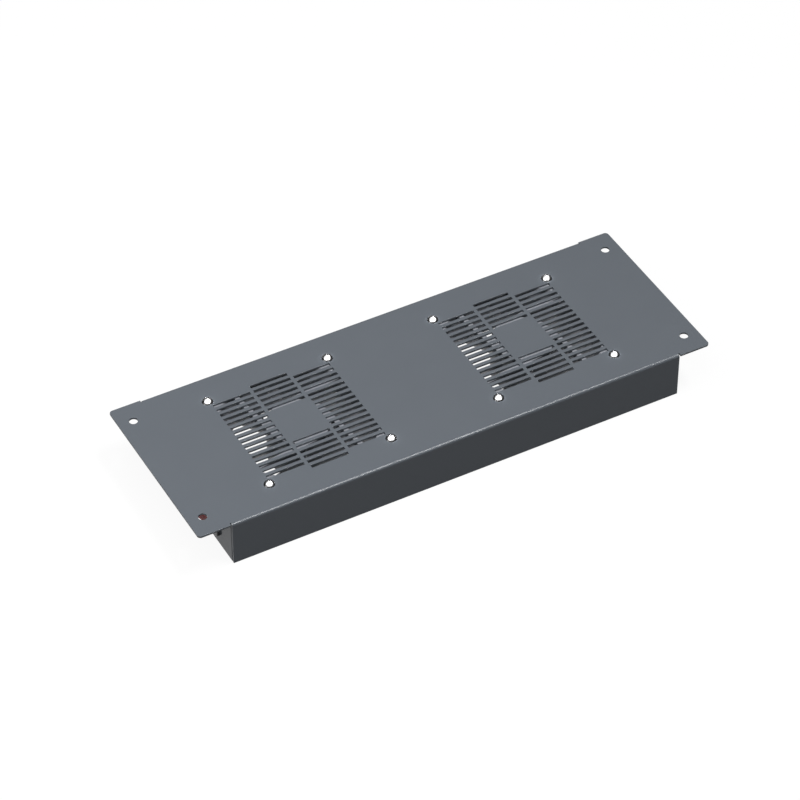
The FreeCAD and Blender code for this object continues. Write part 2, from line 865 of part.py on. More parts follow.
def right_fan_leads():
    """On from the left fan's receptacles, along the front wall, to the right fan's."""
    starts = fan_lead_ends("left")
    ends = reversed(fan_lead_ends("right"))
    leads = []
    for start, end, run_y in zip(starts, ends, (outer_run_y, inner_run_y)):
        height = start.z - lead_crimp_rise
        leads.append(lead([V(start.x, start.y, height), V(start.x, run_y, height),
                           V(end.x, run_y, height), V(end.x, end.y, height)]))
    return leads


def wire_clips():
    """Moulded clips on the front wall's inner face, round both of the right fan's leads."""
    height = fan_lead_ends("left")[0].z - lead_crimp_rise
    clips = []
    for x in clip_places:
        clip = rounded_block(x - clip_length / 2, x + clip_length / 2, -inner_half_width,
                             inner_run_y + lead_radius + clip_margin, height - lead_radius - clip_margin,
                             height + lead_radius + clip_margin, clip_margin / 2, "X")
        for run_y in (inner_run_y, outer_run_y):
            clip = clip.cut(Part.makeCylinder(lead_radius + clip_fit, 2 * clip_length,
                                              V(x - clip_length, run_y, height), V(1, 0, 0)))
        clips.append(clip)
    return clips


def on_rear_wall(shape):
    """A shape built up along +Z, stood on the rear wall's inner face at the earth point."""
    copy = shape.copy()
    copy.rotate(ORIGIN, V(1, 0, 0), 90)
    copy.translate(V(earth_x, inner_half_width, earth_z))
    return copy


def earth_stud():
    return on_rear_wall(rod(m4_radius, 0, earth_stud_length))


def earth_terminal():
    """A ring terminal on the stud, its barrel towards the inlet."""
    eye = ring(ring_radius, m4_radius + fastener_fit, 0, ring_thickness)
    neck_end = -ring_radius - barrel_neck
    neck = block(neck_end, ring_thickness - ring_radius, -barrel_radius, barrel_radius, 0, ring_thickness)
    barrel = Part.makeCylinder(barrel_radius, barrel_length, V(neck_end, 0, barrel_radius), V(-1, 0, 0))
    return on_rear_wall(eye.fuse(neck).fuse(barrel))


def earth_nut():
    return on_rear_wall(placed(nut(m4_nut_flats, m4_radius, m4_nut_height), V(0, 0, ring_thickness)))


def earth_lead():
    """From the inlet's middle pin, over the other pin's lead, to the ring terminal."""
    _, earth, neutral = inlet_pin_places()
    wall_y = inner_half_width - barrel_radius
    barrel_end = earth_x - ring_radius - barrel_neck - barrel_length
    return lead([V(inlet_lead_start, earth.y, earth.z), V(corridor_x, earth.y, earth.z),
                 V(corridor_x, neutral.y + lead_crossing, earth.z + lead_radius),
                 V(corridor_x, wall_y, earth_z), V(barrel_end, wall_y, earth_z)])


fan_pieces = {
    "housing": [fan_housing()],
    "bearing_tube": [bearing_tube()],
    "impeller": [impeller()],
    "rotor_ring": [rotor_ring()],
    "shaft": [shaft()],
    "retaining_ring": [retaining_ring()],
    "bearings": bearings(),
    "stator_core": [stator_core()],
    "stator_coils": stator_coils(),
    "bearing_cap": [bearing_cap()],
    "terminal_block": [terminal_block()],
    "terminal_tabs": fan_tabs(),
    "receptacles": fan_receptacles(),
}
for side, place in fans.items():
    for kind, pieces in fan_pieces.items():
        save(side + "_fan_" + kind, [hung(piece, place) for piece in pieces])
    for kind, pieces in fan_fasteners().items():
        save(side + "_fan_" + kind, [placed(piece, place) for piece in pieces])

save("tray_plate", [tray_plate()])
save("left_end_plate", [left_end_plate()])
save("right_end_plate", [placed(end_plate(), ORIGIN, 180)])
save("switch_housing", [switch_housing()])
save("switch_rocker", [switch_rocker()])
save("switch_terminals", switch_terminals())
save("switch_receptacles", switch_receptacles())
save("inlet_housing", [inlet_housing()])
save("inlet_pins", inlet_pins())
save("inlet_screws", inlet_screws())
save("inlet_nuts", inlet_nuts())
save("inlet_receptacles", inlet_receptacles())
save("supply_leads", supply_leads())
save("left_fan_leads", left_fan_leads())
save("right_fan_leads", right_fan_leads())
save("wire_clips", wire_clips())
save("earth_stud", [earth_stud()])
save("earth_terminal", [earth_terminal()])
save("earth_nut", [earth_nut()])
save("earth_lead", [earth_lead()])
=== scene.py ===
"""The rack fan tray, dressed: powder-coated sheet metal, cast fans, polished screws, wiring.

Metres throughout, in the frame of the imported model: +X along the tray, +Y to the back, +Z up.
"""
import bpy
import bmesh
import json
import math
from mathutils import Matrix, Vector


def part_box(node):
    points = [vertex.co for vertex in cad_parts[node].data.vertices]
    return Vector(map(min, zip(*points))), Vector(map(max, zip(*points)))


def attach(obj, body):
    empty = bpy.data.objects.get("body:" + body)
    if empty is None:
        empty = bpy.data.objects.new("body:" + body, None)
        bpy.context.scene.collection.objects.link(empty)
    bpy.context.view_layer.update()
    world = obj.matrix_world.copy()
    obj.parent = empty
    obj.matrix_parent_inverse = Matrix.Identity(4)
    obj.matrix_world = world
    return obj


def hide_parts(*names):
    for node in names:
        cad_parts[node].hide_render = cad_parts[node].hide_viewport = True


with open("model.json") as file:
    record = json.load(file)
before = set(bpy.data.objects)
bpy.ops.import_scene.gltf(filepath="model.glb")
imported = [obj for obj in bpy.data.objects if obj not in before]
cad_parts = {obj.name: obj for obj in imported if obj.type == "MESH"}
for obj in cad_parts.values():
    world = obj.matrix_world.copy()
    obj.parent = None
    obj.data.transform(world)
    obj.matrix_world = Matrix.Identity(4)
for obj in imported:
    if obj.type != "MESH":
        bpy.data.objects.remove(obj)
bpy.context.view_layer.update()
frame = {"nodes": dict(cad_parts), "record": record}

MM = 0.001
UP = Vector((0, 0, 1))
QUARTER_TURN = math.radians(90)

# Where the photograph was taken from, with the lens and the sensor's width in millimetres
VIEW_TURN = math.radians(-28.76)
VIEW_RISE = math.radians(42.63)
VIEW_TARGET = Vector((-20.89, -17.98, 40.5)) * MM
VIEW_DISTANCE = 2701.7 * MM
LENS = 156.7
SENSOR = 36.0

# Light from all round, then each lamp's place, its two sides and its power
FILL = 0.128
LAMPS = {
    "overhead": ((-0.42, -0.08, 0.92), (1.0, 1.0), 4.9),
    "ridge": ((2.7, -1.2, 8.0), (3.6, 1.5), 345.0),
    "strip": ((1.0, -0.3, 2.8), (4.0, 0.9), 265.0),
    "side": ((-1.6, -0.1, 0.55), (0.8, 0.8), 0.8),
}
ONLY_REFLECTED = "strip"

# The floor, and the ring of dark cards round the set
FLOOR_RADIUS = 6.0
FLOOR_SHADE = 0.1
FLOOR_GLOW = 1.03
FLOOR_GLOW_SHARE = 0.9
CARD_RADIUS = 4.0
CARD_HEIGHT = 3.0
CARD_SHADE = 0.05
SET_STEPS = 96

# Points nearer than MERGE are one, edges that turn more than SHARP_ANGLE are sharp, and a face
# looks up where its normal rises by more than LOOKS_UP
MERGE = 0.002 * MM
SHARP_ANGLE = math.radians(32)
LOOKS_UP = 0.5

# Screw sizes: diameter, pitch of the thread, and a nut's width across its flats
M4 = 4.0 * MM
M4_PITCH = 0.7 * MM
M4_FLATS = 7.0 * MM
M3 = 3.0 * MM
M3_PITCH = 0.5 * MM
M3_FLATS = 5.5 * MM
SCREW_PITCH = 105.0 * MM
INLET_SCREW_PITCH = 40.0 * MM

# A thread's depth and the two edges of its crest, as shares of its pitch
THREAD_DEPTH = 0.61
CREST_START = 0.44
CREST_END = 0.56

# A nut's round face, as a share of its flats, and how its corners slope away from it
NUT_FACE = 0.96
NUT_SLOPE = math.tan(math.radians(30))

# The cross recess, its floor's share of its mouth, and its scale on the inlet's small screws
CROSS_ARM = 0.3 * MM
CROSS_REACH = 1.3 * MM
CROSS_DEPTH = 0.8 * MM
CROSS_TAPER = 0.62
SMALL_CROSS = 0.72

# Steps round a turn, in one turn of thread and over a dome
ROUND_STEPS = 48
THREAD_STEPS = 24
DOME_STEPS = 10

# The rocker's rounded edges. The short edges round its pins stay as they are
ROCKER_FLAT_ANGLE = math.radians(1)
ROCKER_EDGE_ANGLE = math.radians(8)
ROCKER_SHORT_EDGE = 2.0 * MM
ROCKER_ROUND = 0.5 * MM
ROCKER_ROUND_STEPS = 3

# The earth wire's route in millimetres, from the inlet's middle pin to the ring terminal
EARTH_ROUTE = ((-169.2, 14, 22), (-162, 14, 22), (-162, 25, 23), (-162, 75.2, 20), (-151, 75.2, 20))
WIRE_RADIUS = 1.0 * MM
WIRE_ROUND_STEPS = 4
WIRE_LENGTH_STEPS = 16

# The width of one wire in a coil, and about how many bands a wave texture has in one unit
COIL_WIRE = 0.9 * MM
WAVE_BANDS = 3


# Shader nodes, and sockets that take part in arithmetic


class Value:
    """An output socket of a tree of nodes."""

    def __init__(self, nodes, socket):
        self.nodes = nodes
        self.socket = socket

    def math(self, operation, first, second):
        return self.nodes.node("ShaderNodeMath", {"operation": operation}, {0: first, 1: second})

    def __add__(self, other):
        return self.math("ADD", self, other)

    def __radd__(self, other):
        return self.math("ADD", other, self)

    def __sub__(self, other):
        return self.math("SUBTRACT", self, other)

    def __rsub__(self, other):
        return self.math("SUBTRACT", other, self)

    def __mul__(self, other):
        return self.math("MULTIPLY", self, other)

    def __rmul__(self, other):
        return self.math("MULTIPLY", other, self)

    def __gt__(self, other):
        return self.math("GREATER_THAN", self, other)


class Nodes:
    """The nodes of a material or world, and a method that adds any node."""

    def __init__(self, owner):
        owner.use_nodes = True
        self.tree = owner.node_tree

    def feed(self, socket, value):
        """Links a Value to a socket, or sets it to a number, a colour or a vector."""
        if isinstance(value, Value):
            self.tree.links.new(value.socket, socket)
        elif socket.type == "RGBA":
            socket.default_value = (*value, 1.0)
        else:
            socket.default_value = value

    def node(self, kind, settings, inputs, output=0):
        made = self.tree.nodes.new(kind)
        for name, setting in settings.items():
            setattr(made, name, setting)
        for name, value in inputs.items():
            self.feed(made.inputs[name], value)
        return Value(self, made.outputs[output])

    def shown(self):
        """1 for rays that show the background, from the camera, a reflection or glass."""
        camera, glossy, glass = (
            self.node("ShaderNodeLightPath", {}, {}, kind)
            for kind in ("Is Camera Ray", "Is Glossy Ray", "Is Transmission Ray")
        )
        return 1 - (1 - camera) * (1 - glossy) * (1 - glass)


class Finish(Nodes):
    """A material of the tray, its shader, and the patterns that its finishes share."""

    def __init__(self, name, **fixed):
        self.material = bpy.data.materials.new(name)
        super().__init__(self.material)
        self.shader = self.tree.nodes["Principled BSDF"]
        self.give(**fixed)

    def give(self, **values):
        """Sets or links the shader's own sockets, such as base_color=..."""
        for name, value in values.items():
            socket = name.replace("_", " ").title().replace("Ior", "IOR")
            self.feed(self.shader.inputs[socket], value)

    def place(self):
        """Object coordinates, which are metres in the tray's frame."""
        return self.node("ShaderNodeTexCoord", {}, {}, "Object")

    def grain(self, size, detail=2.0):
        """Noise from 0 to 1 whose features are about size across."""
        inputs = {"Vector": self.place(), "Scale": 1 / size, "Detail": detail}
        return self.node("ShaderNodeTexNoise", {}, inputs)

    def between(self, factor, first, second):
        """A colour from first to second."""
        inputs = {0: factor, 6: first, 7: second}
        return self.node("ShaderNodeMix", {"data_type": "RGBA"}, inputs, 2)

    def relief(self, height, depth, strength, edge=0.0):
        """The normal for a relief, over edges softened to a radius if one is given."""
        inputs = {"Height": height, "Distance": depth, "Strength": strength}
        if edge:
            inputs["Normal"] = self.soft_edges(edge)
        return self.node("ShaderNodeBump", {}, inputs)

    def soft_edges(self, radius):
        return self.node("ShaderNodeBevel", {"samples": 4}, {"Radius": radius})


class SetSurface(Nodes):
    """A material of the floor or the cards, made of plain shaders."""

    def __init__(self, name):
        self.material = bpy.data.materials.new(name)
        super().__init__(self.material)
        self.tree.nodes.remove(self.tree.nodes["Principled BSDF"])

    def matte(self, shade):
        return self.node("ShaderNodeBsdfDiffuse", {}, {"Color": (shade, shade, shade)})

    def mix(self, factor, first, second):
        return self.node("ShaderNodeMixShader", {}, {0: factor, 1: first, 2: second})

    def finished(self, surface):
        self.feed(self.tree.nodes["Material Output"].inputs["Surface"], surface)
        return self.material


# Finishes


def powder_coat():
    """Fine-grained grey powder coat, a little cloudy."""
    finish = Finish("powder_coat", specular_ior_level=0.09)
    cloud = finish.grain(30 * MM)
    skin = finish.grain(0.9 * MM)
    speck = finish.grain(0.28 * MM, 1.0)
    shade = cloud * 0.5 + speck * 0.5
    finish.give(
        base_color=finish.between(shade, (0.143, 0.160, 0.183), (0.159, 0.178, 0.201)),
        roughness=0.12 + skin * 0.08,
        normal=finish.relief(skin + speck * 0.4, 0.012 * MM, 0.5, 0.35 * MM),
    )
    return finish.material


def cast_aluminium():
    """A die casting dipped in thin grey paint, its grain and pits still showing."""
    finish = Finish("cast_aluminium", specular_ior_level=0.3, metallic=0.3)
    cloud = finish.grain(9 * MM)
    pit = finish.grain(0.5 * MM, 3.0)
    finish.give(
        base_color=finish.between(cloud, (0.156, 0.162, 0.181), (0.200, 0.208, 0.228)),
        roughness=0.45 + pit * 0.2,
        normal=finish.relief(pit, 0.05 * MM, 0.6, 0.4 * MM),
    )
    return finish.material


def impeller_plastic():
    """Grey plastic with the clouds of its flow into the mould."""
    finish = Finish("impeller_plastic", specular_ior_level=0.45)
    flow = finish.grain(12 * MM)
    skin = finish.grain(0.4 * MM)
    finish.give(
        base_color=finish.between(flow, (0.20, 0.205, 0.22), (0.25, 0.255, 0.27)),
        roughness=0.36 + flow * 0.12,
        normal=finish.relief(skin, 0.015 * MM, 0.4, 0.3 * MM),
    )
    return finish.material


def plain_metal(name, dark, light, rough, size, edge=0.15 * MM):
    """Turned, stamped or plated metal, mottled and finely grained."""
    finish = Finish(name, metallic=1.0)
    cloud = finish.grain(size, 3.0)
    fine = finish.grain(size / 8, 1.0)
    finish.give(
        base_color=finish.between(cloud, dark, light),
        roughness=rough + fine * 0.12,
        normal=finish.relief(fine, 0.01 * MM, 0.3, edge),
    )
    return finish.material


def moulding(name, dark, light, rough, gloss=0.45):
    """A moulded plastic with a fine spark-eroded skin."""
    finish = Finish(name, specular_ior_level=gloss)
    cloud = finish.grain(14 * MM)
    skin = finish.grain(0.22 * MM, 1.0)
    finish.give(
        base_color=finish.between(cloud, dark, light),
        roughness=rough + skin * 0.12,
        normal=finish.relief(skin, 0.015 * MM, 0.5, 0.25 * MM),
    )
    return finish.material


def winding():
    """Enamelled wire laid side by side."""
    finish = Finish("winding", metallic=0.85)
    lay = {"Vector": finish.place(), "Scale": 1 / (COIL_WIRE * WAVE_BANDS), "Distortion": 0.6}
    turns = finish.node("ShaderNodeTexWave", {"bands_direction": "DIAGONAL"}, lay)
    finish.give(
        base_color=finish.between(turns, (0.30, 0.10, 0.035), (0.62, 0.27, 0.11)),
        roughness=0.25 + turns * 0.1,
        normal=finish.relief(turns, 0.2 * MM, 0.8),
    )
    return finish.material


def clear_sleeve():
    """Milky push-on sleeves through which the terminal shows."""
    finish = Finish("clear_sleeve", transmission_weight=0.55, ior=1.46)
    cloud = finish.grain(4 * MM)
    finish.give(
        base_color=finish.between(cloud, (0.70, 0.71, 0.68), (0.82, 0.83, 0.80)),
        roughness=0.28 + cloud * 0.15,
        normal=finish.soft_edges(0.2 * MM),
    )
    return finish.material


def wire_jacket():
    """Black insulation, smooth from the die."""
    finish = Finish("wire_jacket", specular_ior_level=0.45)
    cloud = finish.grain(6 * MM)
    skin = finish.grain(0.5 * MM)
    finish.give(
        base_color=finish.between(cloud, (0.010, 0.010, 0.011), (0.020, 0.020, 0.022)),
        roughness=0.34 + skin * 0.15,
        normal=finish.relief(skin, 0.01 * MM, 0.4),
    )
    return finish.material


def earth_jacket():
    """Green with a yellow stripe, along the wire's own length."""
    finish = Finish("earth_jacket", specular_ior_level=0.45)
    skin = finish.grain(0.5 * MM)
    own_map = finish.node("ShaderNodeUVMap", {"uv_map": "UVMap"}, {})
    stripe = finish.node("ShaderNodeSeparateXYZ", {}, {0: own_map}, "Y") > 0.5
    finish.give(
        base_color=finish.between(stripe, (0.02, 0.16, 0.035), (0.62, 0.52, 0.02)),
        roughness=0.34 + skin * 0.12,
        normal=finish.relief(skin, 0.01 * MM, 0.4),
    )
    return finish.material


# Plain metals: dark and light tone, roughness, size of the mottling, radius of the edges
METALS = {
    "rotor_steel": ((0.36, 0.37, 0.38), (0.50, 0.51, 0.52), 0.3, 3 * MM),
    "bearing_bronze": ((0.42, 0.27, 0.13), (0.55, 0.37, 0.19), 0.38, 1 * MM),
    "tube_brass": ((0.55, 0.42, 0.22), (0.66, 0.52, 0.30), 0.26, 2 * MM),
    "tab_brass": ((0.62, 0.50, 0.28), (0.74, 0.62, 0.38), 0.22, 2 * MM),
    "screw_chrome": ((0.72, 0.72, 0.73), (0.82, 0.82, 0.83), 0.12, 2 * MM, 0.12 * MM),
    "zinc_steel": ((0.52, 0.54, 0.56), (0.66, 0.68, 0.71), 0.24, 1.5 * MM),
    "pin_nickel": ((0.60, 0.58, 0.54), (0.70, 0.68, 0.64), 0.18, 1 * MM),
}

# Moulded plastics: dark and light tone, roughness, gloss
MOULDINGS = {
    "black_plastic": ((0.016, 0.016, 0.017), (0.026, 0.026, 0.028), 0.42),
    "switch_black": ((0.012, 0.012, 0.013), (0.020, 0.020, 0.022), 0.32),
    "rocker_red": ((0.375, 0.010, 0.015), (0.45, 0.018, 0.023), 0.24, 0.07),
    "inlet_black": ((0.014, 0.014, 0.015), (0.024, 0.024, 0.026), 0.46),
    "clip_nylon": ((0.62, 0.61, 0.56), (0.72, 0.71, 0.66), 0.4),
}

FINISHES = {
    "tray_sheet": powder_coat(),
    "fan_casting": cast_aluminium(),
    "impeller_plastic": impeller_plastic(),
    "coil_copper": winding(),
    "clear_sleeve": clear_sleeve(),
    "lead_black": wire_jacket(),
    "earth_green": earth_jacket(),
}
for slot, look in METALS.items():
    FINISHES[slot] = plain_metal(slot, *look)
for slot, look in MOULDINGS.items():
    FINISHES[slot] = moulding(slot, *look)


# Pieces


record = frame["record"]
BODY_OF = {node: body for body, nodes in record["behaviour"]["bodies"].items() for node in nodes}
SLOT_OF = {part["node"]: part["material_slot"] for part in record["subparts"]}
dressed = set()


def stand_in(shape, node):
    """Makes a piece of a bmesh, in the place, on the body and in the finish of a CAD node."""
    mesh = bpy.data.meshes.new(node + "_piece")
    shape.to_mesh(mesh)
    shape.free()
    mesh.materials.append(FINISHES[SLOT_OF[node]])
    piece = bpy.data.objects.new(mesh.name, mesh)
    bpy.context.scene.collection.objects.link(piece)
    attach(piece, BODY_OF[node])
    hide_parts(node)
    dressed.add(node)
    return piece


def shade(shape):
    """Smooth shading, except across edges that turn more than the sharp angle."""
    for face in shape.faces:
        face.smooth = True
    for edge in shape.edges:
        edge.smooth = edge.calc_face_angle(math.pi) < SHARP_ANGLE


def even_normals(piece):
    """Lets the large flat faces keep their own normals beside narrow bends."""
    modifier = piece.modifiers.new("Even normals", "WEIGHTED_NORMAL")
    modifier.keep_sharp = True


def merged(node):
    """A bmesh of a CAD node with its loose triangles joined."""
    shape = bmesh.new()
    shape.from_mesh(frame["nodes"][node].data)
    for layer in list(shape.loops.layers.uv):
        shape.loops.layers.uv.remove(layer)
    bmesh.ops.remove_doubles(shape, verts=shape.verts, dist=MERGE)
    return shape


def smooth_piece(node):
    """A CAD node in its own shape, shaded smooth where it is round."""
    shape = merged(node)
    shade(shape)
    even_normals(stand_in(shape, node))


def everything(shape):
    return shape.verts[:] + shape.edges[:] + shape.faces[:]


def line_through(shape, points):
    """Joins (radius, height) points into a line beside the Z axis, and gives all of it."""
    verts = [shape.verts.new((radius, 0, height)) for radius, height in points]
    return verts + [shape.edges.new(pair) for pair in zip(verts, verts[1:])]


def revolved(points):
    """A closed solid of revolution about Z from (radius, height) points."""
    shape = bmesh.new()
    bmesh.ops.spin(shape, geom=line_through(shape, points), cent=(0, 0, 0), axis=UP,
                   angle=2 * math.pi, steps=ROUND_STEPS, use_merge=True)
    bmesh.ops.remove_doubles(shape, verts=shape.verts, dist=MERGE)
    bmesh.ops.recalc_face_normals(shape, faces=shape.faces)
    return shape


def add_copies(target, part, moves):
    """Adds a copy of a bmesh to another at each move, then frees it."""
    mesh = bpy.data.meshes.new("part")
    part.to_mesh(mesh)
    part.free()
    for move in moves:
        before = len(target.verts)
        target.from_mesh(mesh)
        target.verts.ensure_lookup_table()
        bmesh.ops.transform(target, matrix=move, verts=target.verts[before:])
    bpy.data.meshes.remove(mesh)


def set_fasteners(node, *parts):
    """Makes the piece of a node of fasteners from parts, each with the moves of its copies."""
    shape = bmesh.new()
    for part, moves in parts:
        add_copies(shape, part, moves)
    shade(shape)
    stand_in(shape, node)


# Fasteners with their threads, recesses and chamfers


def threaded_rod(radius, pitch, low, high):
    """A threaded length of rod about Z, cut square at both ends."""
    root = radius - THREAD_DEPTH * pitch
    # One more turn past each end, which the cuts take off
    turns = math.ceil((high - low) / pitch) + 2
    start = low - pitch
    outline = (
        (root, start),
        (radius, start + CREST_START * pitch),
        (radius, start + CREST_END * pitch),
        (root, start + pitch),
    )
    shape = bmesh.new()
    bmesh.ops.spin(shape, geom=line_through(shape, outline), cent=(0, 0, 0), axis=UP,
                   dvec=UP * pitch / THREAD_STEPS, angle=2 * math.pi * turns,
                   steps=THREAD_STEPS * turns)
    bmesh.ops.remove_doubles(shape, verts=shape.verts, dist=MERGE)
    for height, side in ((low, -1), (high, 1)):
        bmesh.ops.bisect_plane(shape, geom=everything(shape), plane_co=UP * height,
                               plane_no=UP * side, clear_outer=True)
    bmesh.ops.holes_fill(shape, edges=[edge for edge in shape.edges if edge.is_boundary])
    bmesh.ops.recalc_face_normals(shape, faces=shape.faces)
    return shape


def cut_cross(shape, top, scale=1.0):
    """Sinks a tapered cross recess into the faces that look up near the top of a head."""
    arm = CROSS_ARM * scale
    reach = CROSS_REACH * scale
    floor = top - CROSS_DEPTH * scale
    for axis in (Vector((1, 0, 0)), Vector((0, 1, 0))):
        for offset in (-reach, -arm, arm, reach):
            raised = [face for face in shape.faces if face.calc_center_median().z > floor]
            bounds = {item for face in raised for item in face.edges[:] + face.verts[:]}
            bmesh.ops.bisect_plane(shape, geom=raised + list(bounds), plane_co=axis * offset,
                                   plane_no=axis)
    sunk = []
    for face in shape.faces:
        middle = face.calc_center_median()
        across, along = sorted((abs(middle.x), abs(middle.y)))
        on_top = middle.z > floor and face.normal.z > LOOKS_UP
        if on_top and across < arm and along < reach:
            sunk.append(face)
    moved = bmesh.ops.extrude_face_region(shape, geom=sunk)["geom"]
    bmesh.ops.delete(shape, geom=sunk, context="FACES")
    bottom = [item for item in moved if isinstance(item, bmesh.types.BMVert)]
    for vert in bottom:
        vert.co.z = floor
    taper = Matrix.Diagonal((CROSS_TAPER, CROSS_TAPER, 1, 1))
    bmesh.ops.transform(shape, matrix=taper, verts=bottom)


def circle_at(shape, radius, level):
    """A circle of vertices about Z at a level."""
    verts = bmesh.ops.create_circle(shape, segments=ROUND_STEPS, radius=radius)["verts"]
    bmesh.ops.translate(shape, verts=verts, vec=UP * level)
    return verts


def hexagon_at(shape, flats, face_radius, level, slope):
    """A hexagon of vertices about Z, a corner on +X, sloping from a round face at a level."""
    verts = circle_at(shape, face_radius, level)
    for vert in verts:
        turn = math.atan2(vert.co.y, vert.co.x)
        reach = flats / 2 / math.cos(turn % (math.pi / 3) - math.pi / 6)
        vert.co = Vector((math.cos(turn), math.sin(turn), 0)) * reach
        vert.co.z = level + (reach - face_radius) * slope
    return verts


def chamfered_nut(flats, bore, height):
    """A hexagon nut from z = 0, its corners chamfered to a circle at both faces."""
    shape = bmesh.new()
    face_radius = NUT_FACE * flats / 2
    rings = [
        circle_at(shape, face_radius, 0),
        hexagon_at(shape, flats, face_radius, 0, NUT_SLOPE),
        hexagon_at(shape, flats, face_radius, height, -NUT_SLOPE),
        circle_at(shape, face_radius, height),
        circle_at(shape, bore, height),
        circle_at(shape, bore, 0),
    ]
    for ring, following in zip(rings, rings[1:] + rings[:1]):
        loops = [edge for edge in shape.edges
                 if any(all(vert in verts for vert in edge.verts) for verts in (ring, following))]
        bmesh.ops.bridge_loops(shape, edges=loops)
    bmesh.ops.recalc_face_normals(shape, faces=shape.faces)
    return shape


def corner_moves(node, level=0.0):
    """Moves to the middle of each of a fan's four corner fasteners, at a level."""
    low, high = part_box(node)
    middle = (low + high) / 2
    half = SCREW_PITCH / 2
    corners = [(x, y) for x in (-half, half) for y in (-half, half)]
    return [Matrix.Translation((middle.x + x, middle.y + y, level)) for x, y in corners]


def dome(radius, seat, top):
    """Points over a ball's cap, from its top to its rim at the seat."""
    rise = top - seat
    ball = (radius ** 2 + rise ** 2) / (2 * rise)
    rim = math.asin(radius / ball)
    angles = [rim * step / DOME_STEPS for step in range(DOME_STEPS + 1)]
    return [(ball * math.sin(angle), top - ball + ball * math.cos(angle)) for angle in angles]


def fan_screws(side):
    """Domed screws with a cross recess, threaded below the plate."""
    node = side + "_fan_screws"
    low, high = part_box(node)
    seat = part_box("tray_plate")[1].z
    radius = (high.x - low.x - SCREW_PITCH) / 2
    core = M4 / 2 - THREAD_DEPTH * M4_PITCH
    neck = [(core, seat), (core, seat - M4), (0, seat - M4)]
    head = revolved(dome(radius, seat, high.z) + neck)
    cut_cross(head, high.z)
    rod = threaded_rod(M4 / 2, M4_PITCH, low.z, seat)
    places = corner_moves(node)
    set_fasteners(node, (head, places), (rod, places))


def fan_nuts(side):
    """The nuts on those screws, below their washers."""
    node = side + "_fan_nuts"
    low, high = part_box(node)
    nut = chamfered_nut(M4_FLATS, M4 / 2, high.z - low.z)
    set_fasteners(node, (nut, corner_moves(node, low.z)))


def inlet_moves(node):
    """Moves that turn +Z to +X, to the start of each of the inlet's two screws or nuts."""
    low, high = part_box(node)
    middle = (low + high) / 2
    half = INLET_SCREW_PITCH / 2
    turn = Matrix.Rotation(QUARTER_TURN, 4, "Y")
    return [Matrix.Translation((low.x, middle.y + y, middle.z)) @ turn for y in (-half, half)]


def inlet_fasteners():
    """Countersunk screws with a cross recess and their nuts behind the panel."""
    low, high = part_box("inlet_screws")
    radius = (high.y - low.y - INLET_SCREW_PITCH) / 2
    core = M3 / 2 - THREAD_DEPTH * M3_PITCH
    cone = radius - M3 / 2
    neck = [(M3 / 2, -cone), (core, -cone), (core, -2 * cone), (0, -2 * cone)]
    head = revolved([(0, 0), (radius, 0)] + neck)
    cut_cross(head, 0, SMALL_CROSS)
    rod = threaded_rod(M3 / 2, M3_PITCH, cone, high.x - low.x)
    moves = inlet_moves("inlet_screws")
    flip = Matrix.Rotation(math.pi, 4, "X")
    set_fasteners("inlet_screws", (head, [move @ flip for move in moves]), (rod, moves))
    low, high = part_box("inlet_nuts")
    nut = chamfered_nut(M3_FLATS, M3 / 2, high.x - low.x)
    set_fasteners("inlet_nuts", (nut, inlet_moves("inlet_nuts")))


def earth_fasteners():
    """The stud on the rear wall and its nut, both from their rear ends along -Y."""
    stud_low, stud_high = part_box("earth_stud")
    nut_low, nut_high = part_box("earth_nut")
    middle = (stud_low + stud_high) / 2
    turn = Matrix.Rotation(QUARTER_TURN, 4, "X")
    rod = threaded_rod(M4 / 2, M4_PITCH, 0, stud_high.y - stud_low.y)
    nut = chamfered_nut(M4_FLATS, M4 / 2, nut_high.y - nut_low.y)
    for node, part, end in (("earth_stud", rod, stud_high.y), ("earth_nut", nut, nut_high.y)):
        set_fasteners(node, (part, [Matrix.Translation((middle.x, end, middle.z)) @ turn]))


# The rocker and the earth wire


def rocker():
    """The rocker with rounded edges."""
    shape = merged("switch_rocker")
    bmesh.ops.dissolve_limit(shape, angle_limit=ROCKER_FLAT_ANGLE, verts=shape.verts,
                             edges=shape.edges)
    edges = [edge for edge in shape.edges if edge.calc_face_angle(0) > ROCKER_EDGE_ANGLE]
    outer = [edge for edge in edges if edge.calc_length() > ROCKER_SHORT_EDGE]
    bmesh.ops.bevel(shape, geom=outer, affect="EDGES", offset=ROCKER_ROUND,
                    segments=ROCKER_ROUND_STEPS, profile=0.5, material=-1, clamp_overlap=True)
    shade(shape)
    stand_in(shape, "switch_rocker")


def earth_wire():
    """The earth wire on its route, with UVs along and round it for the stripe."""
    curve = bpy.data.curves.new("earth_wire_route", "CURVE")
    curve.dimensions = "3D"
    curve.bevel_depth = WIRE_RADIUS
    curve.bevel_resolution = WIRE_ROUND_STEPS
    curve.resolution_u = WIRE_LENGTH_STEPS
    curve.use_fill_caps = True
    spline = curve.splines.new("NURBS")
    spline.points.add(len(EARTH_ROUTE) - 1)
    for point, place in zip(spline.points, EARTH_ROUTE):
        point.co = (*(Vector(place) * MM), 1)
    spline.order_u = 3
    spline.use_endpoint_u = True
    holder = bpy.data.objects.new("earth_wire_route", curve)
    mesh = bpy.data.meshes.new_from_object(holder)
    bpy.data.objects.remove(holder)
    shape = bmesh.new()
    shape.from_mesh(mesh)
    bpy.data.meshes.remove(mesh)
    bmesh.ops.remove_doubles(shape, verts=shape.verts, dist=MERGE)
    shade(shape)
    stand_in(shape, "earth_lead")


# Camera, light and floor


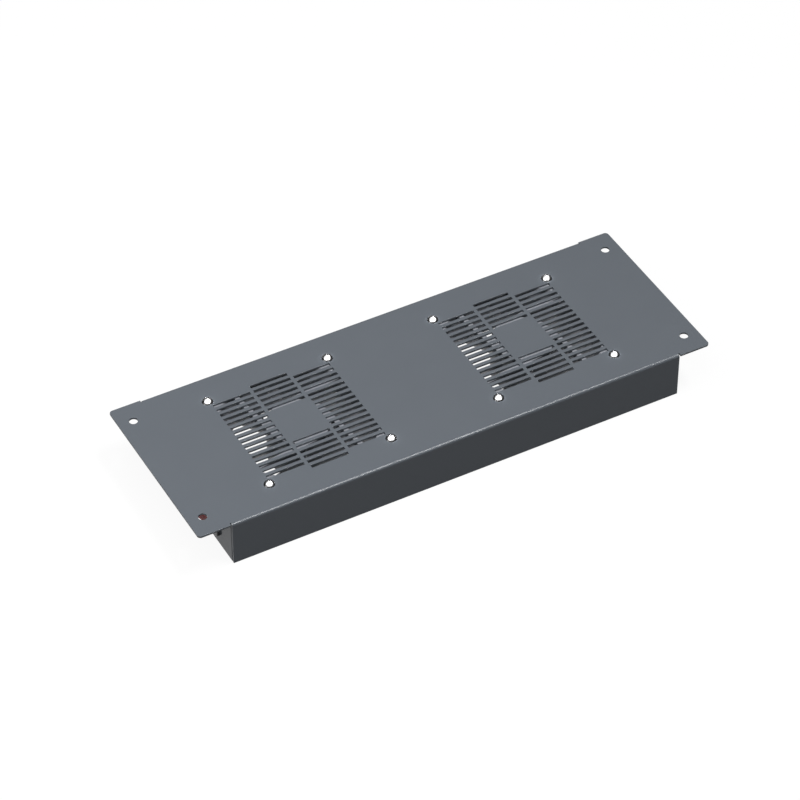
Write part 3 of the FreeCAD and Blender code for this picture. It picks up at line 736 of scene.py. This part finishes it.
def set_camera():
    camera = bpy.data.cameras.new("photo_camera")
    camera.sensor_width = SENSOR
    camera.lens = LENS
    level = math.cos(VIEW_RISE)
    back = Vector((math.sin(VIEW_TURN) * level, -math.cos(VIEW_TURN) * level, math.sin(VIEW_RISE)))
    holder = bpy.data.objects.new("photo_camera", camera)
    holder.location = VIEW_TARGET + back * VIEW_DISTANCE
    holder.rotation_euler = (-back).to_track_quat("-Z", "Y").to_euler()
    bpy.context.scene.collection.objects.link(holder)
    bpy.context.scene.camera = holder


def set_lamp(name, place, size, power):
    """A rectangular lamp that faces the tray."""
    light = bpy.data.lights.new(name, "AREA")
    light.shape = "RECTANGLE"
    light.size, light.size_y = size
    light.energy = power
    holder = bpy.data.objects.new(name, light)
    holder.location = place
    holder.visible_diffuse = name != ONLY_REFLECTED
    holder.rotation_euler = (-holder.location).to_track_quat("-Z", "Y").to_euler()
    bpy.context.scene.collection.objects.link(holder)


def set_world():
    """A white surround, which lights the tray only as much as FILL."""
    world = bpy.data.worlds.new("studio")
    nodes = Nodes(world)
    background = nodes.tree.nodes["Background"]
    nodes.feed(background.inputs["Color"], (1, 1, 1))
    nodes.feed(background.inputs["Strength"], FILL + nodes.shown() * (1 - FILL))
    bpy.context.scene.world = world


def stage_piece(name, shape, material):
    """Adds a piece of the set, made of a bmesh."""
    mesh = bpy.data.meshes.new(name)
    shape.to_mesh(mesh)
    shape.free()
    mesh.materials.append(material)
    piece = bpy.data.objects.new(name, mesh)
    bpy.context.scene.collection.objects.link(piece)
    return piece


def floor_white():
    """White where it shows, dark to the light that it bounces, and clear from below."""
    floor = SetSurface("floor_white")
    glow = floor.node("ShaderNodeEmission", {}, {"Strength": FLOOR_GLOW})
    white = floor.mix(FLOOR_GLOW_SHARE, floor.matte(1), glow)
    above = floor.mix(floor.shown(), floor.matte(FLOOR_SHADE), white)
    below = floor.node("ShaderNodeBsdfTransparent", {}, {})
    from_below = floor.node("ShaderNodeNewGeometry", {}, {}, "Backfacing")
    return floor.finished(floor.mix(from_below, above, below))


def set_floor():
    shape = bmesh.new()
    bmesh.ops.create_circle(shape, cap_ends=True, segments=SET_STEPS, radius=FLOOR_RADIUS)
    stage_piece("floor", shape, floor_white())


def card_black():
    card = SetSurface("card_black")
    return card.finished(card.matte(CARD_SHADE))


def set_cards():
    """A ring of dark cards, which only reflections show, for the edges of bright metal."""
    shape = bmesh.new()
    bmesh.ops.create_cone(shape, cap_ends=False, segments=SET_STEPS, radius1=CARD_RADIUS,
                          radius2=CARD_RADIUS, depth=CARD_HEIGHT)
    bmesh.ops.translate(shape, verts=shape.verts, vec=UP * CARD_HEIGHT / 2)
    cards = stage_piece("cards", shape, card_black())
    cards.visible_camera = False
    cards.visible_diffuse = False
    cards.visible_shadow = False
    cards.visible_transmission = False


set_camera()
for lamp, settings in LAMPS.items():
    set_lamp(lamp, *settings)
set_world()
set_floor()
set_cards()
bpy.context.scene.view_settings.view_transform = "Standard"

for side in ("left", "right"):
    fan_screws(side)
    fan_nuts(side)
inlet_fasteners()
earth_fasteners()
rocker()
earth_wire()
for node in frame["nodes"]:
    if node not in dressed:
        smooth_piece(node)
